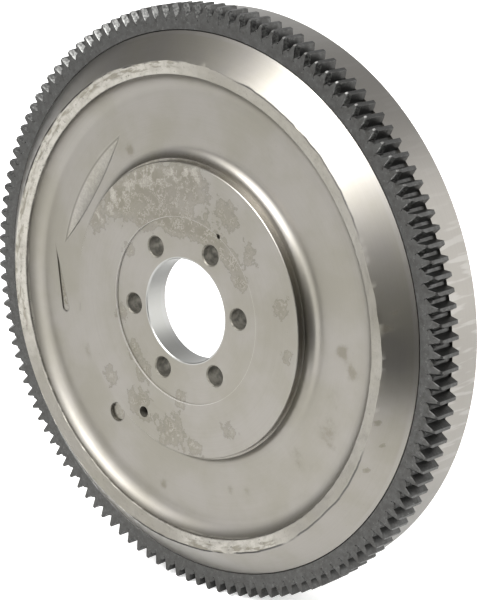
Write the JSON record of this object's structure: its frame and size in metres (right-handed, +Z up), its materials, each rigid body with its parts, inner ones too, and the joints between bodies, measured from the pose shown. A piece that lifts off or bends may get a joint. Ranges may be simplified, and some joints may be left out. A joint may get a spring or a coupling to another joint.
{
  "type": "engine flywheel",
  "caption": "Cast-iron engine flywheel with a shrunk-on starter ring gear, bolted crankshaft hub, open centre bore, clutch friction face, tapped cover holes and dowels.",
  "frame": {"origin": "on the wheel's axis, in the plane of the crankshaft register face", "axes": "the wheel spins about Y; -Y points out of the engine side, towards the crankshaft, and +Y out of the clutch side; +Z is up and +X is to the right as seen from the engine side"},
  "size_m": [0.4136, 0.0697, 0.4136],
  "materials": {
    "cast_iron": "turned and as-cast grey iron, thin oil and stains",
    "gear_steel": "dark heat-treated steel with bare bevels",
    "dowel_steel": "ground bright steel"
  },
  "bodies": {
    "root": {"flywheel_body": "cast_iron", "ring_gear": "gear_steel", "clutch_dowels": "dowel_steel"}
  },
  "joints": []
}
